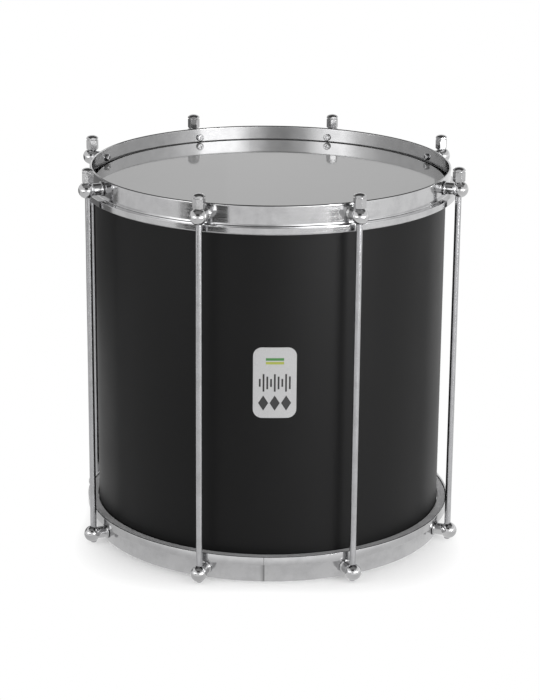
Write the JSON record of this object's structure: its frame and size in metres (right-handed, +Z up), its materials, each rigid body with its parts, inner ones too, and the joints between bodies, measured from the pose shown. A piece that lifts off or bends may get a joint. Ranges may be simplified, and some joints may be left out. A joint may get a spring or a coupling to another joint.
{
  "type": "repinique drum",
  "caption": "Two-headed samba drum: black cylinder shell, chrome rolled hoops, ball lugs on the hoops and full-length tension rods with hex tuning nuts.",
  "frame": {"origin": "centre of the bottom rim, on the surface that the drum stands on", "axes": "+Z up along the drum's axis to the batter head, -Y the front, midway between two rods, +X the drum's right seen from the front"},
  "size_m": [0.3288, 0.3288, 0.337],
  "materials": {
    "shell_black": "satin",
    "film": "gloss",
    "flesh_hoop": "satin",
    "hoop_chrome": "polished",
    "lug_chrome": "polished",
    "nut_chrome": "polished",
    "rod_zinc": "gloss",
    "screw_zinc": "satin"
  },
  "bodies": {
    "drum": {"shell": "shell_black", "batter_head_film": "film", "batter_flesh_hoop": "flesh_hoop", "resonant_head_film": "film", "resonant_flesh_hoop": "flesh_hoop", "bottom_hoop": "hoop_chrome", "bottom_lug_1": "lug_chrome", "bottom_lug_2": "lug_chrome", "bottom_lug_3": "lug_chrome", "bottom_lug_4": "lug_chrome", "bottom_lug_5": "lug_chrome", "bottom_lug_6": "lug_chrome", "bottom_lug_7": "lug_chrome", "bottom_lug_8": "lug_chrome", "bottom_lug_screw_1": "screw_zinc", "bottom_lug_screw_2": "screw_zinc", "bottom_lug_screw_3": "screw_zinc", "bottom_lug_screw_4": "screw_zinc", "bottom_lug_screw_5": "screw_zinc", "bottom_lug_screw_6": "screw_zinc", "bottom_lug_screw_7": "screw_zinc", "bottom_lug_screw_8": "screw_zinc", "tension_rod_1": "rod_zinc", "tension_rod_2": "rod_zinc", "tension_rod_3": "rod_zinc", "tension_rod_4": "rod_zinc", "tension_rod_5": "rod_zinc", "tension_rod_6": "rod_zinc", "tension_rod_7": "rod_zinc", "tension_rod_8": "rod_zinc"},
    "batter_hoop": {"top_hoop": "hoop_chrome", "top_lug_1": "lug_chrome", "top_lug_2": "lug_chrome", "top_lug_3": "lug_chrome", "top_lug_4": "lug_chrome", "top_lug_5": "lug_chrome", "top_lug_6": "lug_chrome", "top_lug_7": "lug_chrome", "top_lug_8": "lug_chrome", "top_lug_screw_1": "screw_zinc", "top_lug_screw_2": "screw_zinc", "top_lug_screw_3": "screw_zinc", "top_lug_screw_4": "screw_zinc", "top_lug_screw_5": "screw_zinc", "top_lug_screw_6": "screw_zinc", "top_lug_screw_7": "screw_zinc", "top_lug_screw_8": "screw_zinc"},
    "tuning_nut_body_1": {"tuning_nut_1": "nut_chrome"},
    "tuning_nut_body_2": {"tuning_nut_2": "nut_chrome"},
    "tuning_nut_body_3": {"tuning_nut_3": "nut_chrome"},
    "tuning_nut_body_4": {"tuning_nut_4": "nut_chrome"},
    "tuning_nut_body_5": {"tuning_nut_5": "nut_chrome"},
    "tuning_nut_body_6": {"tuning_nut_6": "nut_chrome"},
    "tuning_nut_body_7": {"tuning_nut_7": "nut_chrome"},
    "tuning_nut_body_8": {"tuning_nut_8": "nut_chrome"}
  },
  "joints": [
    {"name": "batter_hoop_slide", "type": "slide", "parent": "drum", "child": "batter_hoop", "axis": [0, 0, 1], "range_m": [0, 0.003]},
    {"name": "tuning_nut_1_turn", "type": "hinge", "parent": "batter_hoop", "child": "tuning_nut_body_1", "pos_m": [0.06467, -0.15614, 0.33], "axis": [0, 0, 1], "range_deg": [0, 1080]},
    {"name": "tuning_nut_2_turn", "type": "hinge", "parent": "batter_hoop", "child": "tuning_nut_body_2", "pos_m": [0.15614, -0.06467, 0.33], "axis": [0, 0, 1], "range_deg": [0, 1080]},
    {"name": "tuning_nut_3_turn", "type": "hinge", "parent": "batter_hoop", "child": "tuning_nut_body_3", "pos_m": [0.15614, 0.06467, 0.33], "axis": [0, 0, 1], "range_deg": [0, 1080]},
    {"name": "tuning_nut_4_turn", "type": "hinge", "parent": "batter_hoop", "child": "tuning_nut_body_4", "pos_m": [0.06467, 0.15614, 0.33], "axis": [0, 0, 1], "range_deg": [0, 1080]},
    {"name": "tuning_nut_5_turn", "type": "hinge", "parent": "batter_hoop", "child": "tuning_nut_body_5", "pos_m": [-0.06467, 0.15614, 0.33], "axis": [0, 0, 1], "range_deg": [0, 1080]},
    {"name": "tuning_nut_6_turn", "type": "hinge", "parent": "batter_hoop", "child": "tuning_nut_body_6", "pos_m": [-0.15614, 0.06467, 0.33], "axis": [0, 0, 1], "range_deg": [0, 1080]},
    {"name": "tuning_nut_7_turn", "type": "hinge", "parent": "batter_hoop", "child": "tuning_nut_body_7", "pos_m": [-0.15614, -0.06467, 0.33], "axis": [0, 0, 1], "range_deg": [0, 1080]},
    {"name": "tuning_nut_8_turn", "type": "hinge", "parent": "batter_hoop", "child": "tuning_nut_body_8", "pos_m": [-0.06467, -0.15614, 0.33], "axis": [0, 0, 1], "range_deg": [0, 1080]}
  ],
  "couplings": [
    {"joint": "tuning_nut_1_turn", "follows": "batter_hoop_slide", "rad_per_m": 6283.2},
    {"joint": "tuning_nut_2_turn", "follows": "batter_hoop_slide", "rad_per_m": 6283.2},
    {"joint": "tuning_nut_3_turn", "follows": "batter_hoop_slide", "rad_per_m": 6283.2},
    {"joint": "tuning_nut_4_turn", "follows": "batter_hoop_slide", "rad_per_m": 6283.2},
    {"joint": "tuning_nut_5_turn", "follows": "batter_hoop_slide", "rad_per_m": 6283.2},
    {"joint": "tuning_nut_6_turn", "follows": "batter_hoop_slide", "rad_per_m": 6283.2},
    {"joint": "tuning_nut_7_turn", "follows": "batter_hoop_slide", "rad_per_m": 6283.2},
    {"joint": "tuning_nut_8_turn", "follows": "batter_hoop_slide", "rad_per_m": 6283.2}
  ]
}
